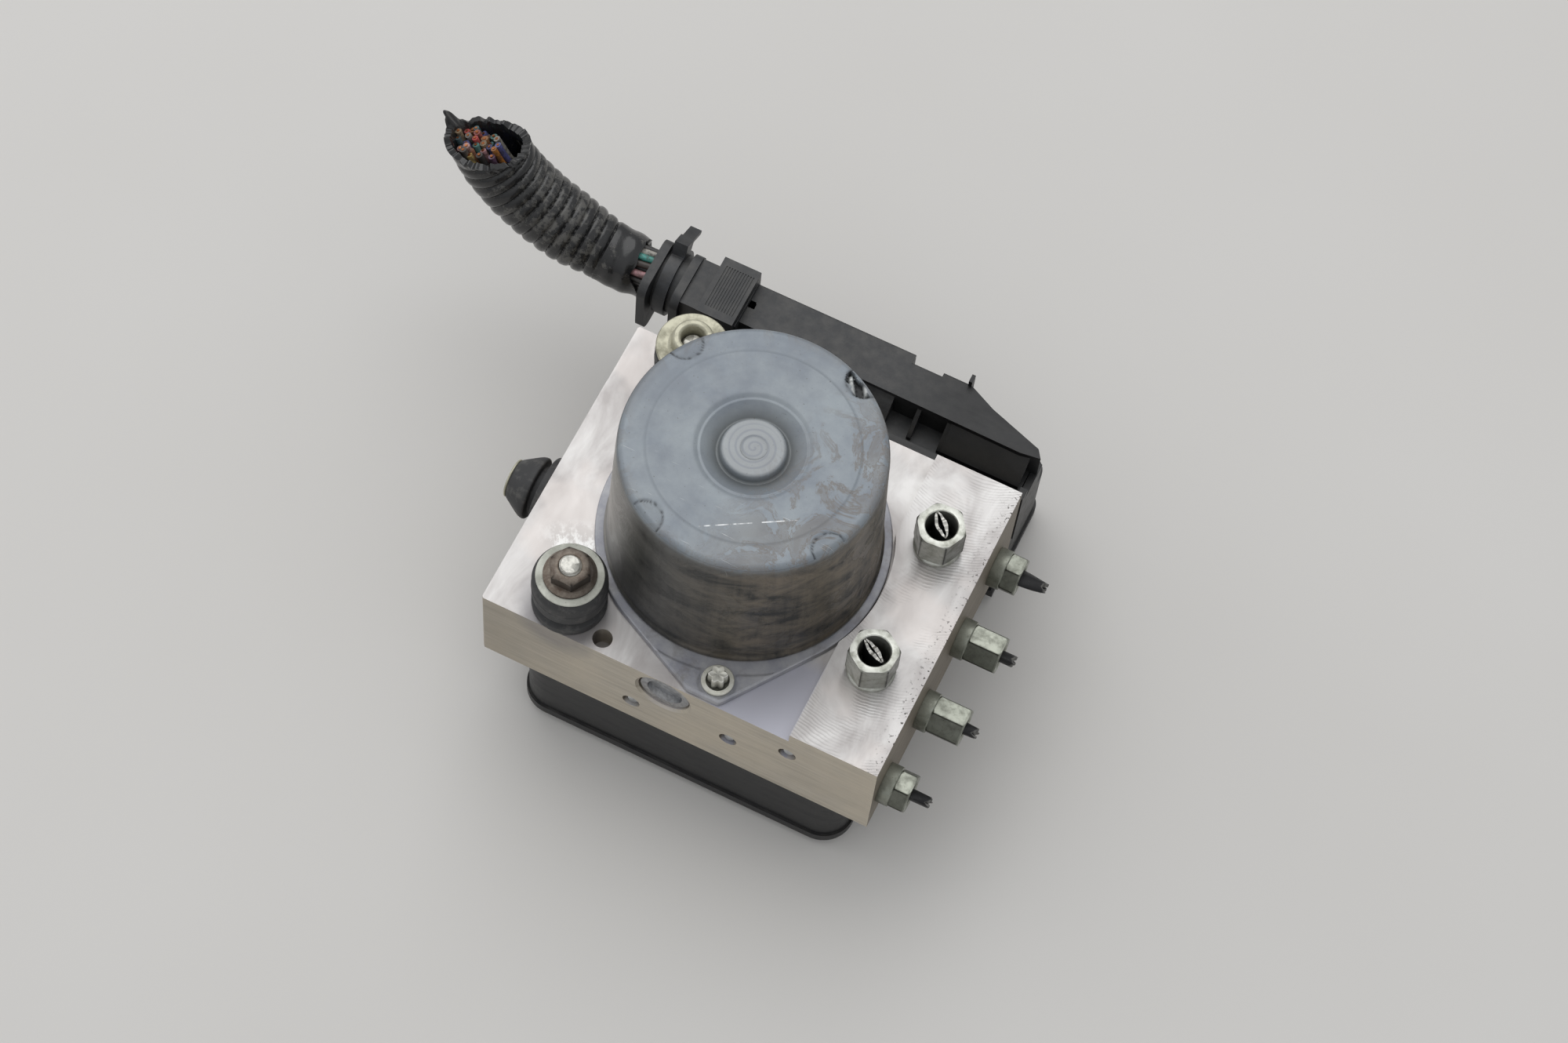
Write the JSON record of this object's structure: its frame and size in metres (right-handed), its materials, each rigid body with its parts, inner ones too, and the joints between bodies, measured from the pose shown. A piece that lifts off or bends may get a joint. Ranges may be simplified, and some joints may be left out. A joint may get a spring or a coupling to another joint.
{
  "type": "abs brake module",
  "caption": "Anti-lock brake hydraulic unit: drilled aluminium valve block with pump motor on top, control unit below, cut brake pipes and a plugged-in wiring connector.",
  "frame": {"origin": "on the pump motor's axis, level with the underside of the control unit", "axes": "+Z along the motor's axis away from the control unit, +X along the block's front face towards the wheel ports, +Y towards the wiring plug"},
  "size_m": [0.1973, 0.1265, 0.11],
  "materials": {
    "block_aluminium": "milled, fine tool marks",
    "motor_shell": "passivated blue-grey steel, matte",
    "ferrite": "sintered, dark",
    "shaft_steel": "ground",
    "core_laminations": "stamped stack",
    "winding_enamel": "enamelled copper",
    "commutator_copper": "turned copper",
    "bearing_steel": "polished",
    "bearing_bronze": "sintered bronze",
    "phenolic": "moulded",
    "brush_carbon": "carbon",
    "spring_steel": "drawn wire",
    "seal_rubber": "matte",
    "mount_rubber": "matte, dusty",
    "zinc_bright": "zinc plated, dull",
    "washer_zinc": "zinc plated",
    "rusty_steel": "light rust over zinc",
    "bush_zinc_cream": "yellowed zinc",
    "nut_plated": "dulled plating",
    "pipe_coated": "black coated steel",
    "screw_dark": "dark zinc flake",
    "plug_aluminium": "turned",
    "valve_steel": "turned",
    "coil_moulding": "moulded over copper",
    "board_green": "solder resist",
    "pin_tin": "tin plated",
    "gasket_foam": "closed-cell foam",
    "ecu_plastic": "glass-filled, matte",
    "cover_plastic": "glass-filled, matte",
    "plug_plastic": "satin",
    "tie_nylon": "nylon",
    "tape_cloth": "PVC tape, wrinkled",
    "wire_insulation": "thin-wall insulation in several colours"
  },
  "bodies": {
    "module": {"hydraulic_block": "block_aluminium", "motor_housing": "motor_shell", "motor_magnets": "ferrite", "top_bearing": "bearing_bronze", "main_bearing_outer": "bearing_steel", "brush_holder": "phenolic", "brushes": "brush_carbon", "brush_springs": "spring_steel", "motor_seal": "seal_rubber", "motor_screws": "zinc_bright", "front_mount_rubber": "mount_rubber", "front_mount_washer": "washer_zinc", "front_mount_nut": "rusty_steel", "mount_studs": "zinc_bright", "rear_mount_rubber": "mount_rubber", "rear_mount_bush": "bush_zinc_cream", "side_mount_rubber": "mount_rubber", "side_mount_bush": "bush_zinc_cream", "master_tube_nuts": "nut_plated", "wheel_tube_nuts": "nut_plated", "cut_brake_pipes": "pipe_coated", "sealing_balls": "bearing_steel", "pump_plugs": "plug_aluminium", "pump_spring_front": "spring_steel", "pump_spring_rear": "spring_steel", "accumulator_spring_left": "spring_steel", "accumulator_spring_right": "spring_steel", "accumulator_caps": "zinc_bright", "valve_cartridges": "valve_steel", "solenoid_coils": "coil_moulding", "circuit_board": "board_green", "connector_pins": "pin_tin", "ecu_housing": "ecu_plastic", "ecu_cover": "cover_plastic", "ecu_gasket": "gasket_foam", "ecu_screws": "screw_dark"},
    "rotor": {"armature_shaft": "shaft_steel", "armature_core": "core_laminations", "armature_windings": "winding_enamel", "commutator": "commutator_copper", "main_bearing_inner": "bearing_steel", "eccentric_ring": "bearing_steel"},
    "pump_piston_front": {"pump_piston_front": "shaft_steel"},
    "pump_piston_rear": {"pump_piston_rear": "shaft_steel"},
    "accumulator_piston_left": {"accumulator_piston_left": "plug_aluminium"},
    "accumulator_piston_right": {"accumulator_piston_right": "plug_aluminium"},
    "plug": {"plug_body": "plug_plastic", "plug_cover": "plug_plastic", "cable_tie": "tie_nylon", "harness_tape": "tape_cloth", "harness_wires": "wire_insulation"},
    "lock_slide": {"plug_lock_slide": "plug_plastic"},
    "valve_plunger_1": {"valve_plunger_1": "valve_steel"},
    "valve_plunger_2": {"valve_plunger_2": "valve_steel"},
    "valve_plunger_3": {"valve_plunger_3": "valve_steel"},
    "valve_plunger_4": {"valve_plunger_4": "valve_steel"},
    "valve_plunger_5": {"valve_plunger_5": "valve_steel"},
    "valve_plunger_6": {"valve_plunger_6": "valve_steel"},
    "valve_plunger_7": {"valve_plunger_7": "valve_steel"},
    "valve_plunger_8": {"valve_plunger_8": "valve_steel"}
  },
  "joints": [
    {"name": "motor_spin", "type": "hinge", "parent": "module", "child": "rotor", "pos_m": [0, 0, 0.07], "axis": [0, 0, 1], "continuous": true},
    {"name": "pump_front_stroke", "type": "slide", "parent": "module", "child": "pump_piston_front", "axis": [0, -1, 0], "range_m": [0, 0.003], "stiffness_N_per_m": 400, "springref_m": -0.002, "deforming": ["pump_spring_front"]},
    {"name": "pump_rear_stroke", "type": "slide", "parent": "module", "child": "pump_piston_rear", "axis": [0, 1, 0], "range_m": [0, 0.003], "stiffness_N_per_m": 400, "springref_m": -0.002, "deforming": ["pump_spring_rear"]},
    {"name": "accumulator_left_stroke", "type": "slide", "parent": "module", "child": "accumulator_piston_left", "axis": [0, 1, 0], "range_m": [0, 0.006], "stiffness_N_per_m": 1500, "springref_m": -0.004, "deforming": ["accumulator_spring_left"]},
    {"name": "accumulator_right_stroke", "type": "slide", "parent": "module", "child": "accumulator_piston_right", "axis": [0, 1, 0], "range_m": [0, 0.006], "stiffness_N_per_m": 1500, "springref_m": -0.004, "deforming": ["accumulator_spring_right"]},
    {"name": "valve_1_stroke", "type": "slide", "parent": "module", "child": "valve_plunger_1", "axis": [0, 0, 1], "range_m": [0, 0.0003], "stiffness_N_per_m": 1000, "springref_m": -0.0005},
    {"name": "valve_2_stroke", "type": "slide", "parent": "module", "child": "valve_plunger_2", "axis": [0, 0, 1], "range_m": [0, 0.0003], "stiffness_N_per_m": 1000, "springref_m": -0.0005},
    {"name": "valve_3_stroke", "type": "slide", "parent": "module", "child": "valve_plunger_3", "axis": [0, 0, 1], "range_m": [0, 0.0003], "stiffness_N_per_m": 1000, "springref_m": -0.0005},
    {"name": "valve_4_stroke", "type": "slide", "parent": "module", "child": "valve_plunger_4", "axis": [0, 0, 1], "range_m": [0, 0.0003], "stiffness_N_per_m": 1000, "springref_m": -0.0005},
    {"name": "valve_5_stroke", "type": "slide", "parent": "module", "child": "valve_plunger_5", "axis": [0, 0, 1], "range_m": [0, 0.0003], "stiffness_N_per_m": 1000, "springref_m": -0.0005},
    {"name": "valve_6_stroke", "type": "slide", "parent": "module", "child": "valve_plunger_6", "axis": [0, 0, 1], "range_m": [0, 0.0003], "stiffness_N_per_m": 1000, "springref_m": -0.0005},
    {"name": "valve_7_stroke", "type": "slide", "parent": "module", "child": "valve_plunger_7", "axis": [0, 0, 1], "range_m": [0, 0.0003], "stiffness_N_per_m": 1000, "springref_m": -0.0005},
    {"name": "valve_8_stroke", "type": "slide", "parent": "module", "child": "valve_plunger_8", "axis": [0, 0, 1], "range_m": [0, 0.0003], "stiffness_N_per_m": 1000, "springref_m": -0.0005},
    {"name": "plug_lift", "type": "slide", "parent": "module", "child": "plug", "axis": [0, 0, 1], "range_m": [0, 0.004]},
    {"name": "lock_slide", "type": "slide", "parent": "plug", "child": "lock_slide", "axis": [-1, 0, 0], "range_m": [0, 0.005]}
  ],
  "couplings": [
    {"joint": "plug_lift", "follows": "lock_slide", "ratio": 0.8}
  ]
}
